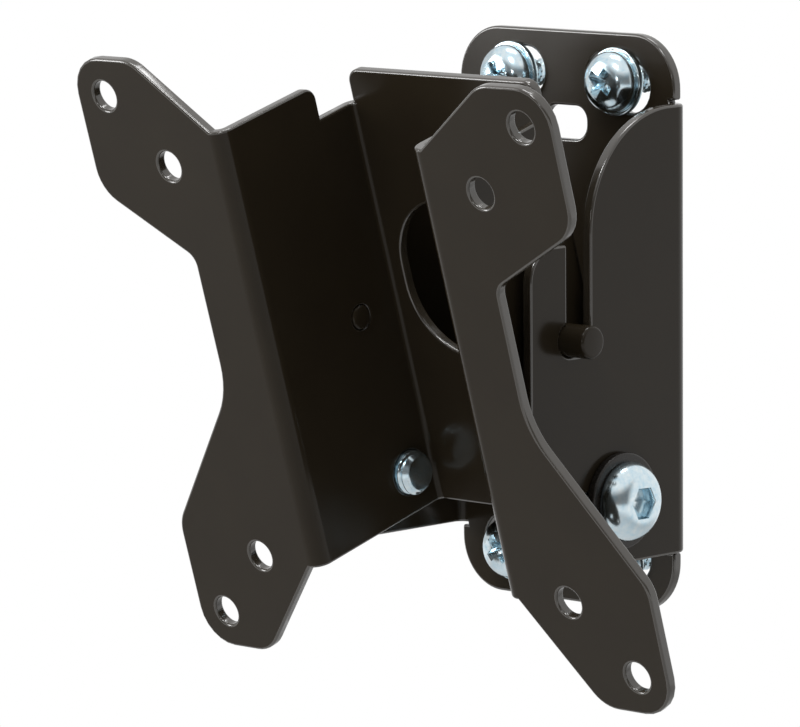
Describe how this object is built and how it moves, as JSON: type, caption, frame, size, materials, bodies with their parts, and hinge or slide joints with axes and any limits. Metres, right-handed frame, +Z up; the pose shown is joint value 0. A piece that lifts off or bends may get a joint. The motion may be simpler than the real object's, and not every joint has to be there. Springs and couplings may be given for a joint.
{
  "type": "tilting tv wall mount",
  "caption": "Folded black steel wall bracket with a winged screen bracket that hooks in on pins, tilts, and is clamped by side bolts.",
  "frame": {"origin": "middle of the wall bracket's back face, which lies on the wall", "axes": "+Z up, +Y into the wall, +X to the right as seen from the room"},
  "size_m": [0.114, 0.0816, 0.1128],
  "materials": {
    "black_coating": "gloss black powder coat on folded steel",
    "black_washer": "black steel washer",
    "zinc_plate": "bright zinc plated steel"
  },
  "bodies": {
    "wall_side": {"wall_bracket": "black_coating", "wall_screw_top_left": "zinc_plate", "wall_screw_top_right": "zinc_plate", "wall_screw_low_left": "zinc_plate", "wall_screw_low_right": "zinc_plate", "screw_washer_top_left": "zinc_plate", "screw_washer_top_right": "zinc_plate", "screw_washer_low_left": "zinc_plate", "screw_washer_low_right": "zinc_plate"},
    "tilt_side": {"tilt_bracket": "black_coating", "pivot_pin_left": "black_coating", "pivot_pin_right": "black_coating", "bolt_washer_left": "black_washer", "bolt_washer_right": "black_washer", "tilt_bolt_left": "zinc_plate", "tilt_bolt_right": "zinc_plate", "spacer_washer_left": "zinc_plate", "spacer_washer_right": "zinc_plate"}
  },
  "joints": [
    {"name": "tilt", "type": "hinge", "parent": "wall_side", "child": "tilt_side", "pos_m": [0, -0.0316, 0.0009], "axis": [1, 0, 0], "range_deg": [-21.6, 3.4]}
  ]
}
